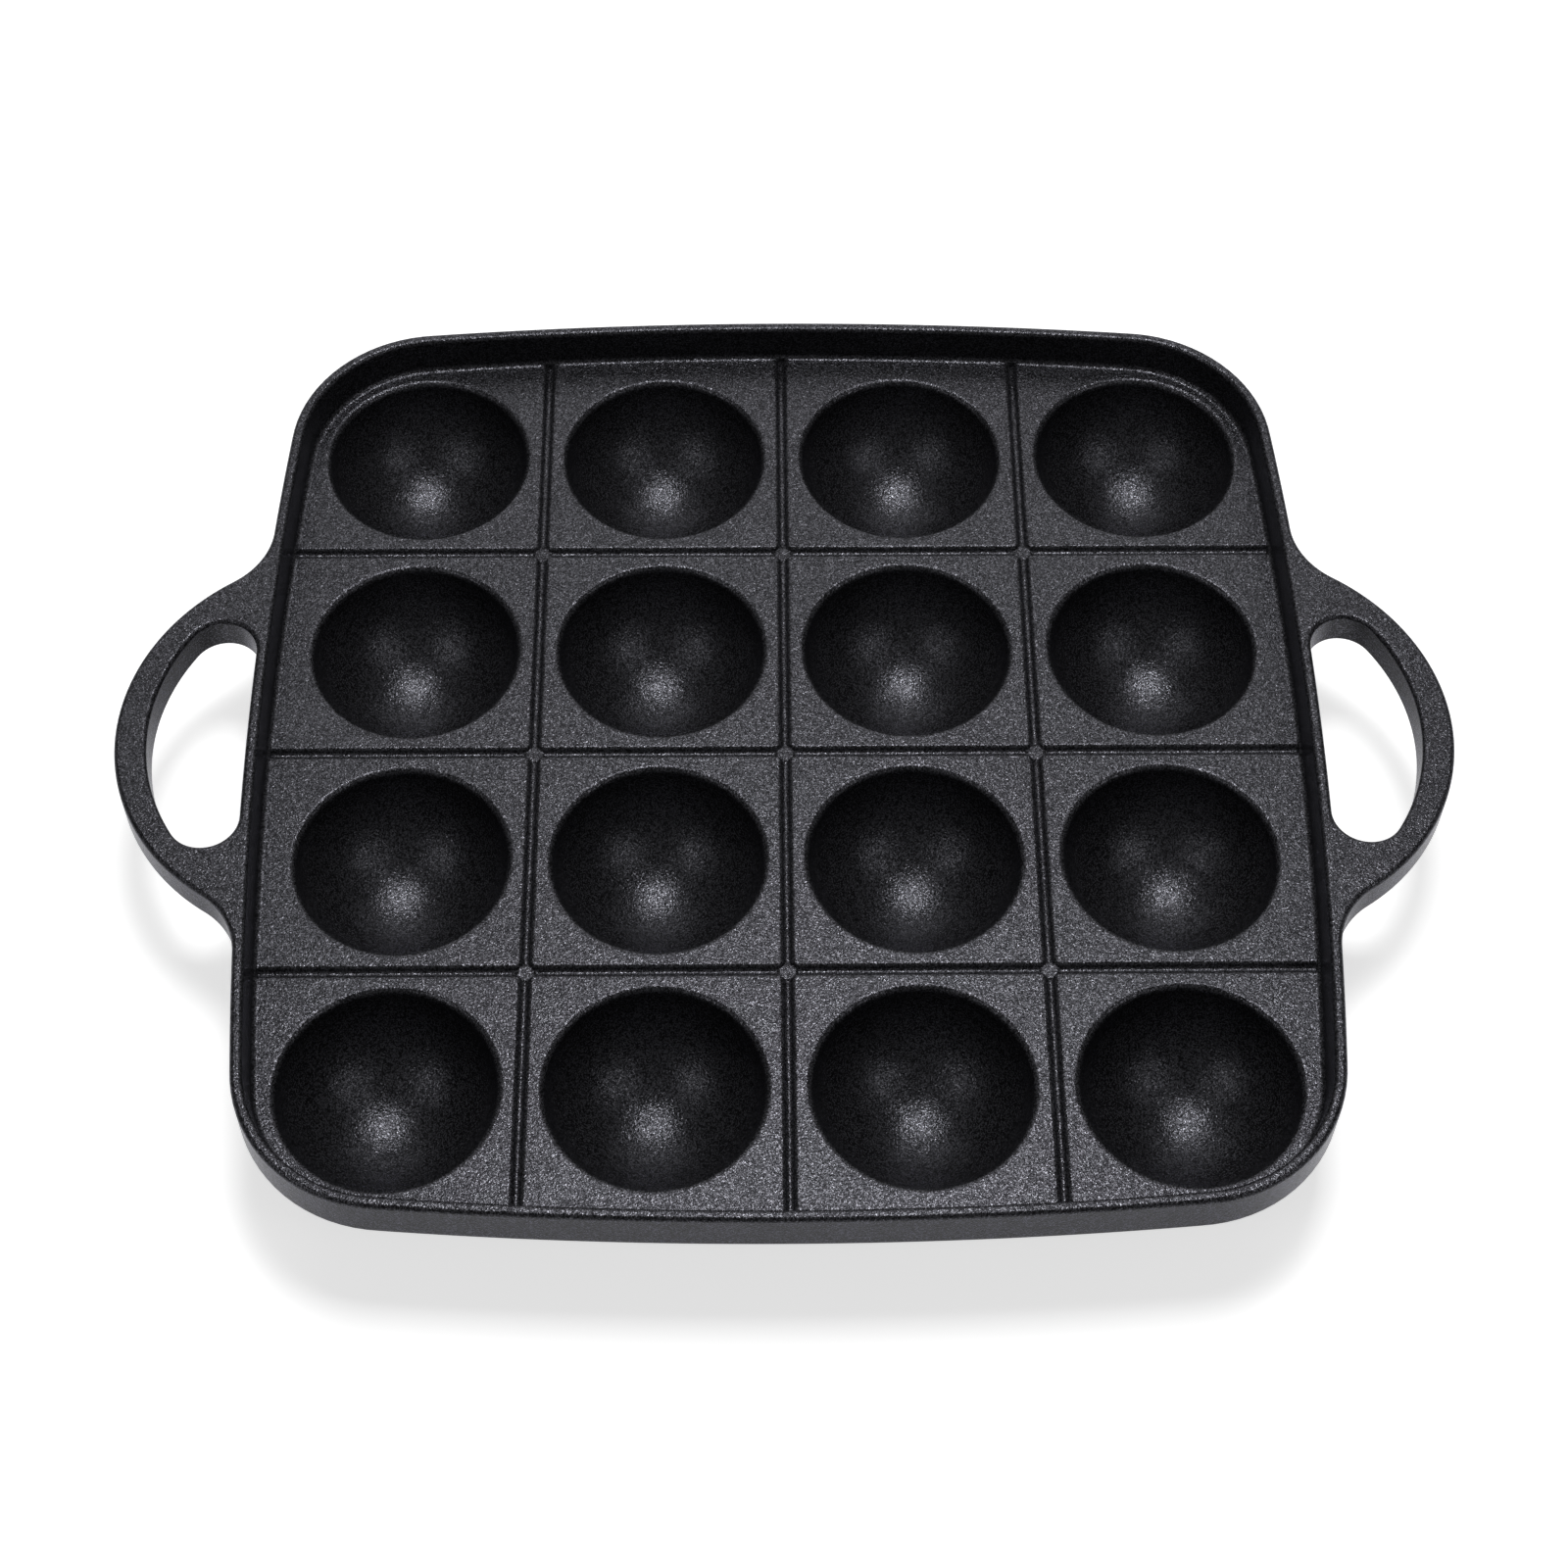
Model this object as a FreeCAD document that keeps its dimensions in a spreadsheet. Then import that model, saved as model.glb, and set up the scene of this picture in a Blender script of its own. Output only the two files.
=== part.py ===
import FreeCAD, Part
import os
from math import asin, atan2, pi, sqrt

import Sketcher

# A stove-top takoyaki pan: one square casting with a grid of hemispherical wells, dividing
# grooves between them, a low rim wall and a loop handle at each side.
#
# The pan is modelled the way it is cast, as one body. Nothing on it comes apart, so the pieces
# written at the end are regions of that casting which meet face to face: the plate with its
# wells, cut apart along the bottoms of the grooves, the rim wall round it, and the two handles.
#
# Frame: millimetres, +Z up, X through the two handles. The origin is on the surface that the
# pan stands on, under the middle of the grid.

# Driving sizes, in millimetres and degrees: alias, value, what it sets.
SIZES = [
    ("wells_per_side", 4, "wells along each side of the square grid"),
    ("well_pitch", 52, "from the middle of one well to the middle of the next"),
    ("bowl_radius", 22.0, "radius of a well's hemisphere, centred on the deck's surface"),
    ("lip_round", 0.8, "rounding where a well meets the deck"),
    ("bowl_wall", 3.0, "wall of the casting round a well"),
    ("bowl_floor", 2.4, "metal between a well's deepest point and the flat it stands on"),
    ("bulge_root", 0.8, "hollow rounding where a well's bulge meets the underside"),
    ("plate_thickness", 2.6, "deck to underside, between the wells"),
    ("edge_margin", 6.4, "outer face of the pan beyond the outermost cells of the grid"),
    ("side_bow", 936, "radius of each slightly bowed side"),
    ("corner_radius", 31.2, "radius of the pan's corners, on the outer face"),
    ("rim_height", 8.4, "rim wall above the deck"),
    ("rim_width", 2.4, "rim wall across its crown"),
    ("wall_draft", 6, "degrees that the rim wall's inner face leans outwards"),
    ("rim_round", 1.0, "rounding of the crown, the handles' upper edges and the finger holes"),
    ("wall_foot_round", 1.2, "hollow rounding where the rim wall meets the deck"),
    ("skirt_round", 1.0, "rounding of the lower outer edge"),
    ("handle_reach", 26.9, "outermost point of a handle beyond the rim wall"),
    ("handle_bow", 46.2, "radius of a handle's outer edge"),
    ("handle_root", 17, "hollow radius where a handle runs into the rim wall"),
    ("handle_thickness", 8.0, "handle from its flush top face down"),
    ("handle_ring", 6.6, "width of a handle between its outer edge and the finger hole"),
    ("finger_bow", 44.7, "radius of the finger hole's outer side"),
    ("finger_end", 7.25, "radius of the finger hole's two ends"),
    ("groove_width", 2.6, "dividing groove across its top, before its lips are rounded"),
    ("groove_depth", 1.2, "dividing groove below the deck"),
    ("groove_lip", 0.4, "rounding of the lips of the grooves and of their crossings"),
    ("groove_end_share", 0.7, "how far a groove runs into the wall's foot, as a share of it"),
    ("crossing_radius", 2.0, "round dimple where two grooves cross, before its lip is rounded"),
    ("crossing_share", 0.8, "depth of that dimple as a share of the groove's depth"),
    ("cut_over", 1.0, "how far a cutter stands above the face that it cuts"),
    ("seam_gap", 0.5, "how far a seam between two pieces stays clear of a rounding or a hole"),
]

# Places that follow from them.
HALF = "(sizes.wells_per_side * sizes.well_pitch / 2 + sizes.edge_margin)"
DECK = "(sizes.bowl_radius + sizes.bowl_floor)"
UNDERSIDE = f"({DECK} - sizes.plate_thickness)"
RIM_TOP = f"({DECK} + sizes.rim_height)"
HANDLE_BOTTOM = f"({RIM_TOP} - sizes.handle_thickness)"
FOOT_INSET = "(sizes.rim_width + sizes.rim_height * tan(sizes.wall_draft * 1 deg))"
PLATE_INSET = f"({FOOT_INSET} + sizes.wall_foot_round + sizes.seam_gap)"
FIRST_WELL = "(-(sizes.wells_per_side - 1) / 2 * sizes.well_pitch)"
GRID_SPAN = "((sizes.wells_per_side - 1) * sizes.well_pitch)"

TOLERANCE = 1e-4
QUARTER = pi / 2

doc = FreeCAD.newDocument("takoyaki_pan")
sheet = doc.addObject("Spreadsheet::Sheet", "sizes")
for row, (alias, value, meaning) in enumerate(SIZES, start=1):
    sheet.set(f"A{row}", alias)
    sheet.set(f"B{row}", str(value))
    sheet.set(f"C{row}", meaning)
    sheet.setAlias(f"B{row}", alias)
doc.recompute()


def mm(expression):
    """The number that an expression over the sheet comes to now."""
    found = sheet.evalExpression(expression)
    return float(getattr(found, "Value", found))


def bind(thing, **properties):
    """Ties properties of a document object to expressions over the sheet."""
    for name, expression in properties.items():
        thing.setExpression(name, expression)


def origin_feature(body, role):
    """One of a body's own planes or axes."""
    return next(f for f in body.Origin.OriginFeatures if f.Role == role)


# --- sketches -----------------------------------------------------------------------------


def sketch_on(body, role, name, across="0", up="0", out="0"):
    """An empty sketch on one of the body's planes, its origin moved along its own axes."""
    sketch = body.newObject("Sketcher::SketchObject", name)
    sketch.AttachmentSupport = [(origin_feature(body, role), "")]
    sketch.MapMode = "FlatFace"
    for axis, expression in (("x", across), ("y", up), ("z", out)):
        sketch.setExpression(f"AttachmentOffset.Base.{axis}", expression)
    return sketch


def dimension(sketch, name, expression, kind, *points):
    """A named dimension tied to an expression."""
    index = sketch.addConstraint(Sketcher.Constraint(kind, *points, mm(expression)))
    sketch.renameConstraint(index, name)
    sketch.setExpression(f"Constraints.{name}", expression)


def place_point(sketch, name, point, x, y):
    """Fixes a point of the sketch at expressions x and y from the sketch's origin."""
    for axis, line, expression in (("X", -2, x), ("Y", -1, y)):
        if expression == "0":
            sketch.addConstraint(Sketcher.Constraint("PointOnObject", *point, line))
        else:
            dimension(sketch, f"{name}_{axis}", expression, f"Distance{axis}", -1, 1, *point)


def turned(x, y, quarters):
    """A point turned about the origin by quarter turns."""
    for _ in range(quarters % 4):
        x, y = -y, x
    return x, y


def chain(sketch, arcs):
    """Closes arcs into an outline in which each is tangent to the next, anticlockwise.

    An arc is (label, centre, radius, start, end). One whose end angle is the smaller bends
    the other way. Returns the index of each arc in the sketch.
    """
    found = []
    for _, (x, y), radius, start, end in arcs:
        circle = Part.Circle(FreeCAD.Vector(x, y, 0), FreeCAD.Vector(0, 0, 1), radius)
        arc = Part.ArcOfCircle(circle, min(start, end), max(start, end))
        found.append((sketch.addGeometry(arc), *((1, 2) if start < end else (2, 1))))
    for (one, _, leaving), (other, entering, _) in zip(found, found[1:] + found[:1]):
        joint = Sketcher.Constraint("Tangent", one, leaving, other, entering)
        sketch.addConstraint(joint)
    return [index for index, _, _ in found]


def outline(sketch, inset="0", handles=False):
    """The pan's outline: four bowed sides and four corners, with the handles where wanted.

    Every radius is the outer face's less the inset, so that outlines stay parallel.
    """
    half = mm(f"{HALF} - ({inset})")
    bow = mm(f"sizes.side_bow - ({inset})")
    corner = mm(f"sizes.corner_radius - ({inset})")
    behind = bow - half
    middle = (sqrt(2 * (bow - corner) ** 2 - behind**2) - behind) / 2
    lean = asin(middle / (bow - corner))
    grip, root = mm("sizes.handle_bow"), mm("sizes.handle_root")
    grip_middle = mm(f"{HALF} + sizes.handle_reach - sizes.handle_bow")
    root_x = ((bow + root) ** 2 - (grip + root) ** 2 + grip_middle**2 - behind**2) / (
        2 * (grip_middle + behind)
    )
    root_y = sqrt((grip + root) ** 2 - (root_x - grip_middle) ** 2)
    on_side = atan2(root_y, root_x + behind)
    on_grip = atan2(root_y, root_x - grip_middle)

    arcs = []
    for quarter in range(4):
        side = ("side", (-behind, 0), bow)
        if handles and quarter % 2 == 0:
            arcs += [
                (*side, -lean, -on_side, quarter),
                ("root", (root_x, -root_y), root, pi - on_side, pi - on_grip, quarter),
                ("grip", (grip_middle, 0), grip, -on_grip, on_grip, quarter),
                ("root", (root_x, root_y), root, pi + on_grip, pi + on_side, quarter),
                (*side, on_side, lean, quarter),
            ]
        else:
            arcs.append((*side, -lean, lean, quarter))
        arcs.append(("corner", (middle, middle), corner, lean, QUARTER - lean, quarter))

    indices = chain(
        sketch,
        [
            (label, turned(*centre, q), radius, start + q * QUARTER, end + q * QUARTER)
            for label, centre, radius, start, end, q in arcs
        ],
    )
    radii = {
        "side": f"sizes.side_bow - ({inset})",
        "corner": f"sizes.corner_radius - ({inset})",
        "root": "sizes.handle_root",
        "grip": "sizes.handle_bow",
    }
    centres = {
        "side": f"{HALF} - sizes.side_bow",
        "grip": f"{HALF} + sizes.handle_reach - sizes.handle_bow",
    }
    for index, (label, *_, quarter) in zip(indices, arcs):
        dimension(sketch, f"{label}_{index}", radii[label], "Radius", index)
        if label in centres:
            sign = "-" if quarter > 1 else ""
            along = f"{sign}({centres[label]})"
            x, y = (along, "0") if quarter % 2 == 0 else ("0", along)
            place_point(sketch, f"{label}_{index}_middle", (index, 3), x, y)


def finger_outline(sketch, mirrored):
    """One finger hole: the rim wall's outer face, two round ends and the outer side."""
    behind = mm(f"sizes.side_bow - {HALF}")
    bow, end, outer = mm("sizes.side_bow"), mm("sizes.finger_end"), mm("sizes.finger_bow")
    middle = f"{HALF} + sizes.handle_reach - sizes.handle_ring - sizes.finger_bow"
    outer_x = mm(middle)
    to_wall, to_outer = bow + end, outer - end
    end_x = (to_wall**2 - to_outer**2 + outer_x**2 - behind**2) / (2 * (outer_x + behind))
    end_y = sqrt(to_outer**2 - (end_x - outer_x) ** 2)
    on_wall = atan2(end_y, end_x + behind)
    on_outer = atan2(end_y, end_x - outer_x)
    half_turn = pi if mirrored else 0
    arcs = [
        ("wall", (-behind, 0), bow, on_wall, -on_wall),
        ("low_end", (end_x, -end_y), end, pi - on_wall, 2 * pi - on_outer),
        ("outer", (outer_x, 0), outer, -on_outer, on_outer),
        ("high_end", (end_x, end_y), end, on_outer, pi + on_wall),
    ]
    indices = chain(
        sketch,
        [
            (label, turned(*centre, 2 * mirrored), radius, start + half_turn, stop + half_turn)
            for label, centre, radius, start, stop in arcs
        ],
    )
    wall, low_end, outside, high_end = indices
    sign = "-" if mirrored else ""
    dimension(sketch, f"wall_{wall}", "sizes.side_bow", "Radius", wall)
    dimension(sketch, f"end_{low_end}", "sizes.finger_end", "Radius", low_end)
    dimension(sketch, f"end_{high_end}", "sizes.finger_end", "Radius", high_end)
    dimension(sketch, f"outer_{outside}", "sizes.finger_bow", "Radius", outside)
    wall_middle = f"{sign}({HALF} - sizes.side_bow)"
    place_point(sketch, f"wall_{wall}_middle", (wall, 3), wall_middle, "0")
    place_point(sketch, f"outer_{outside}_middle", (outside, 3), f"{sign}({middle})", "0")


def polyline(sketch, corners):
    """Lines joined end to end through the corners, open at the end. Returns their indices."""
    points = [FreeCAD.Vector(x, y, 0) for x, y in corners]
    lines = [sketch.addGeometry(Part.LineSegment(a, b)) for a, b in zip(points, points[1:])]
    for one, other in zip(lines, lines[1:]):
        sketch.addConstraint(Sketcher.Constraint("Coincident", one, 2, other, 1))
    return lines


# --- features -----------------------------------------------------------------------------


def extrude(body, kind, name, sketch, length, upwards=True, **extra):
    """A Pad or Pocket of a sketch that lies in a level plane."""
    feature = body.newObject(kind, name)
    feature.Profile = sketch
    feature.Reversed = upwards == (kind == "PartDesign::Pocket")
    bind(feature, Length=length, **extra)
    doc.recompute()
    return feature


def round_edges(body, name, radius, wanted):
    """A Fillet of every edge of the body that passes the test."""
    base = body.Tip
    edges = [f"Edge{i}" for i, edge in enumerate(base.Shape.Edges, start=1) if wanted(edge)]
    fillet = body.newObject("PartDesign::Fillet", name)
    fillet.Base = (base, edges)
    bind(fillet, Radius=radius)
    doc.recompute()
    return fillet


def level_at(height):
    """A test for edges that lie in the level plane at a height."""
    z = mm(height)

    def test(edge):
        box = edge.BoundBox
        return abs(box.ZMin - z) < TOLERANCE and abs(box.ZMax - z) < TOLERANCE

    return test


def inside(inset):
    """A test for edges no further out than an outline with this inset."""
    half = mm(f"{HALF} - {inset}") + TOLERANCE

    def test(edge):
        box = edge.BoundBox
        return max(-box.XMin, box.XMax, -box.YMin, box.YMax) < half

    return test


# --- the casting --------------------------------------------------------------------------


def add_tray(body):
    """The plate, the rim wall and the two handles, before any well or groove."""
    low = sketch_on(body, "XY_Plane", "skirt_outline", out=UNDERSIDE)
    outline(low)
    extrude(body, "PartDesign::Pad", "skirt", low, f"{HANDLE_BOTTOM} - {UNDERSIDE}")

    high = sketch_on(body, "XY_Plane", "handle_outline", out=HANDLE_BOTTOM)
    outline(high, handles=True)
    extrude(body, "PartDesign::Pad", "rim_and_handles", high, "sizes.handle_thickness")

    holes = sketch_on(body, "XY_Plane", "finger_outlines", out=RIM_TOP)
    for mirrored in (False, True):
        finger_outline(holes, mirrored)
    extrude(
        body, "PartDesign::Pocket", "finger_holes", holes, "sizes.handle_thickness", upwards=False
    )

    hollow = sketch_on(body, "XY_Plane", "tray_outline", out=RIM_TOP)
    outline(hollow, inset="sizes.rim_width")
    extrude(
        body,
        "PartDesign::Pocket",
        "tray",
        hollow,
        "sizes.rim_height",
        upwards=False,
        TaperAngle="-sizes.wall_draft",
    )

    on_deck, within_wall = level_at(DECK), inside(FOOT_INSET)
    round_edges(
        body,
        "wall_foot",
        "sizes.wall_foot_round",
        lambda edge: on_deck(edge) and within_wall(edge),
    )
    crown = "min(sizes.rim_round; 0.45 * sizes.rim_width; 0.4 * sizes.handle_ring)"
    round_edges(body, "crown", crown, level_at(RIM_TOP))
    skirt = "min(sizes.skirt_round; 0.9 * sizes.plate_thickness)"
    round_edges(body, "lower_edge", skirt, level_at(UNDERSIDE))


def add_wells(body):
    """One well, a ball-shaped bulge below the plate with a hollow in it, repeated over the grid.

    The bulge is cut off level at the bottom: all the bulges together are what the pan stands on.
    """
    place = {"across": FIRST_WELL, "out": f"-{FIRST_WELL}"}
    outside = "(sizes.bowl_radius + sizes.bowl_wall)"
    middle, reach = mm(DECK), mm(outside)

    section = sketch_on(body, "XZ_Plane", "bulge_section", **place)
    buried = f"({DECK} - sizes.plate_thickness / 2)"
    top, under, root = mm(buried), mm(UNDERSIDE), mm("sizes.bulge_root")
    flat = sqrt(reach**2 - middle**2)
    edge = sqrt((reach + root) ** 2 - (middle - under + root) ** 2)
    lines = polyline(section, [(edge, under), (edge, top), (0, top), (0, 0), (flat, 0)])
    ball = Part.Circle(FreeCAD.Vector(0, middle, 0), FreeCAD.Vector(0, 0, 1), reach)
    meeting = atan2(under - root - middle, edge)
    arc = section.addGeometry(Part.ArcOfCircle(ball, atan2(-middle, flat), meeting))
    hollow = Part.Circle(FreeCAD.Vector(edge, under - root, 0), FreeCAD.Vector(0, 0, 1), root)
    root_arc = section.addGeometry(Part.ArcOfCircle(hollow, QUARTER, pi + meeting))
    section.addConstraint(Sketcher.Constraint("Coincident", arc, 1, lines[-1], 2))
    section.addConstraint(Sketcher.Constraint("Tangent", arc, 2, root_arc, 2))
    section.addConstraint(Sketcher.Constraint("Coincident", root_arc, 1, lines[0], 1))
    section.addConstraint(Sketcher.Constraint("Vertical", root_arc, 3, root_arc, 1))
    section.addConstraint(Sketcher.Constraint("Vertical", lines[0]))
    section.addConstraint(Sketcher.Constraint("Horizontal", lines[1]))
    section.addConstraint(Sketcher.Constraint("PointOnObject", lines[-1], 2, -1))
    dimension(section, "outside", outside, "Radius", arc)
    dimension(section, "root", "sizes.bulge_root", "Radius", root_arc)
    dimension(section, "root_top", UNDERSIDE, "DistanceY", -1, 1, root_arc, 1)
    place_point(section, "middle", (arc, 3), "0", DECK)
    place_point(section, "buried", (lines[1], 2), "0", buried)
    place_point(section, "ground", (lines[2], 2), "0", "0")
    bulge = revolve(body, "PartDesign::Revolution", "bulge", section)

    section = sketch_on(body, "XZ_Plane", "bowl_section", **place)
    radius, lip = mm("sizes.bowl_radius"), mm("sizes.lip_round")
    lip_x = sqrt((radius + lip) ** 2 - lip**2)
    dip = atan2(-lip, lip_x)
    above = f"({DECK} + sizes.cut_over)"
    over = mm(above)
    lines = polyline(section, [(lip_x, middle), (lip_x, over), (0, over), (0, middle - radius)])
    ball = Part.Circle(FreeCAD.Vector(0, middle, 0), FreeCAD.Vector(0, 0, 1), radius)
    bowl_arc = section.addGeometry(Part.ArcOfCircle(ball, -QUARTER, dip))
    bead = Part.Circle(FreeCAD.Vector(lip_x, middle - lip, 0), FreeCAD.Vector(0, 0, 1), lip)
    lip_arc = section.addGeometry(Part.ArcOfCircle(bead, QUARTER, pi + dip))
    section.addConstraint(Sketcher.Constraint("Coincident", bowl_arc, 1, lines[-1], 2))
    section.addConstraint(Sketcher.Constraint("Tangent", bowl_arc, 2, lip_arc, 2))
    section.addConstraint(Sketcher.Constraint("Coincident", lip_arc, 1, lines[0], 1))
    section.addConstraint(Sketcher.Constraint("Vertical", lines[0]))
    section.addConstraint(Sketcher.Constraint("Horizontal", lines[1]))
    section.addConstraint(Sketcher.Constraint("Vertical", lip_arc, 3, lip_arc, 1))
    dimension(section, "radius", "sizes.bowl_radius", "Radius", bowl_arc)
    dimension(section, "lip", "sizes.lip_round", "Radius", lip_arc)
    dimension(section, "lip_top", DECK, "DistanceY", -1, 1, lip_arc, 1)
    place_point(section, "middle", (bowl_arc, 3), "0", DECK)
    place_point(section, "above", (lines[1], 2), "0", above)
    section.addConstraint(Sketcher.Constraint("PointOnObject", lines[-1], 2, -2))
    bowl = revolve(body, "PartDesign::Groove", "bowl", section)

    repeat(body, "well_grid", [bulge, bowl], "sizes.wells_per_side", GRID_SPAN)


def revolve(body, kind, name, section):
    """A full turn of a section about its own upright axis."""
    feature = body.newObject(kind, name)
    feature.Profile = section
    feature.ReferenceAxis = (section, ["V_Axis"])
    feature.Angle = 360
    doc.recompute()
    return feature


def repeat(body, name, originals, count, span):
    """The same features repeated over a square grid from the first corner."""
    pattern = body.newObject("PartDesign::LinearPattern", name)
    pattern.Originals = originals
    pattern.Direction = (origin_feature(body, "X_Axis"), [""])
    pattern.Direction2 = (origin_feature(body, "Y_Axis"), [""])
    bind(pattern, Length=span, Length2=span, Occurrences=count, Occurrences2=count)
    body.Tip = pattern
    doc.recompute()


def add_grooves(body):
    """Round-bottomed dividing grooves halfway between the wells, along X and along Y.

    Each runs into the hollow rounding at the foot of the bowed rim wall. Where two cross, a
    round dimple takes off the corners of the deck between them.
    """
    width, depth = "sizes.groove_width", "sizes.groove_depth"
    nose = f"(({width}) ^ 2 / (8 * {depth}) + {depth} / 2)"
    bow = f"(sizes.side_bow - {FOOT_INSET})"
    wells = round(mm("sizes.wells_per_side"))
    for role, letter in (("XZ_Plane", "y"), ("YZ_Plane", "x")):
        for number in range(1, wells):
            aside = f"({number} - sizes.wells_per_side / 2) * sizes.well_pitch"
            section = sketch_on(body, role, f"groove_{letter}{number}_section", across=aside)
            draw_groove(section, nose)
            groove = body.newObject("PartDesign::Pocket", f"groove_{letter}{number}")
            groove.Profile = section
            groove.SideType = "Symmetric"
            side_inset = f"({bow} - sqrt({bow} ^ 2 - ({aside}) ^ 2))"
            short = "(1 - sizes.groove_end_share) * sizes.wall_foot_round"
            reach = f"({HALF} - {FOOT_INSET} - {short} - {side_inset})"
            bind(groove, Length=f"2 * {reach}")
            doc.recompute()

    spot = f"({FIRST_WELL} + sizes.well_pitch / 2)"
    section = sketch_on(body, "XZ_Plane", "crossing_section", across=spot, out=f"-{spot}")
    draw_crossing(section)
    crossing = revolve(body, "PartDesign::Groove", "crossing", section)
    span = f"{GRID_SPAN} - sizes.well_pitch"
    repeat(body, "crossing_grid", [crossing], "sizes.wells_per_side - 1", span)


def draw_groove(section, nose):
    """A groove's section: the low part of a circle between two rounded lips, open upwards."""
    radius, lip = mm(nose), mm("sizes.groove_lip")
    deck, over = mm(DECK), mm(f"{DECK} + sizes.cut_over")
    middle = deck - mm("sizes.groove_depth") + radius
    lip_x = sqrt((radius + lip) ** 2 - (middle - deck + lip) ** 2)
    lean = atan2(deck - lip - middle, lip_x)
    lines = polyline(section, [(lip_x, deck), (lip_x, over), (-lip_x, over), (-lip_x, deck)])
    circle = Part.Circle(FreeCAD.Vector(0, middle, 0), FreeCAD.Vector(0, 0, 1), radius)
    arc = section.addGeometry(Part.ArcOfCircle(circle, -pi - lean, lean))
    for sign, line, corner, end in ((1, lines[0], 1, 2), (-1, lines[2], 2, 1)):
        centre = FreeCAD.Vector(sign * lip_x, deck - lip, 0)
        bead = Part.Circle(centre, FreeCAD.Vector(0, 0, 1), lip)
        span = (QUARTER, pi + lean) if sign > 0 else (-lean, QUARTER)
        lip_arc = section.addGeometry(Part.ArcOfCircle(bead, *span))
        top, low = (1, 2) if sign > 0 else (2, 1)
        section.addConstraint(Sketcher.Constraint("Tangent", arc, end, lip_arc, low))
        section.addConstraint(Sketcher.Constraint("Coincident", lip_arc, top, line, corner))
        section.addConstraint(Sketcher.Constraint("Vertical", lip_arc, 3, lip_arc, top))
        section.addConstraint(Sketcher.Constraint("Vertical", line))
        dimension(section, f"lip_{lip_arc}", "sizes.groove_lip", "Radius", lip_arc)
        dimension(section, f"lip_{lip_arc}_top", DECK, "DistanceY", -1, 1, lip_arc, top)
    section.addConstraint(Sketcher.Constraint("Horizontal", lines[1]))
    dimension(section, "above", f"{DECK} + sizes.cut_over", "DistanceY", -1, 1, lines[0], 2)
    dimension(section, "nose", nose, "Radius", arc)
    place_point(section, "middle", (arc, 3), "0", f"({DECK} - sizes.groove_depth + {nose})")


def draw_crossing(section):
    """Half the section of a flat round dimple with a rounded lip, about its upright axis."""
    floor = f"({DECK} - sizes.groove_depth * sizes.crossing_share)"
    above = f"({DECK} + sizes.cut_over)"
    radius, lip = mm("sizes.crossing_radius"), mm("sizes.groove_lip")
    deck, low, over = mm(DECK), mm(floor), mm(above)
    out = radius + lip
    lines = polyline(
        section, [(out, deck), (out, over), (0, over), (0, low), (radius, low), (radius, deck - lip)]
    )
    bead = Part.Circle(FreeCAD.Vector(out, deck - lip, 0), FreeCAD.Vector(0, 0, 1), lip)
    arc = section.addGeometry(Part.ArcOfCircle(bead, QUARTER, pi))
    section.addConstraint(Sketcher.Constraint("Coincident", arc, 1, lines[0], 1))
    section.addConstraint(Sketcher.Constraint("Tangent", arc, 2, lines[-1], 2))
    section.addConstraint(Sketcher.Constraint("Vertical", arc, 3, arc, 1))
    section.addConstraint(Sketcher.Constraint("Vertical", lines[0]))
    section.addConstraint(Sketcher.Constraint("Horizontal", lines[1]))
    section.addConstraint(Sketcher.Constraint("Horizontal", lines[3]))
    section.addConstraint(Sketcher.Constraint("Vertical", lines[4]))
    dimension(section, "lip", "sizes.groove_lip", "Radius", arc)
    dimension(section, "lip_top", DECK, "DistanceY", -1, 1, arc, 1)
    dimension(section, "radius", "sizes.crossing_radius", "DistanceX", -1, 1, lines[4], 1)
    place_point(section, "above", (lines[1], 2), "0", above)
    place_point(section, "floor", (lines[2], 2), "0", floor)


# --- the pieces ---------------------------------------------------------------------------


def block(name, low, size):
    """A box between expressions, used to take a region out of the casting."""
    box = doc.addObject("Part::Box", name)
    bind(box, Length=size[0], Width=size[1], Height=size[2])
    for axis, expression in zip("xyz", low):
        box.setExpression(f"Placement.Base.{axis}", expression)
    return box


def boolean(kind, name, base, tool):
    """The common part of two solids, or the first less the second."""
    result = doc.addObject(kind, name)
    result.Base = base
    result.Tool = tool
    result.Refine = True
    return result


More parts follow.
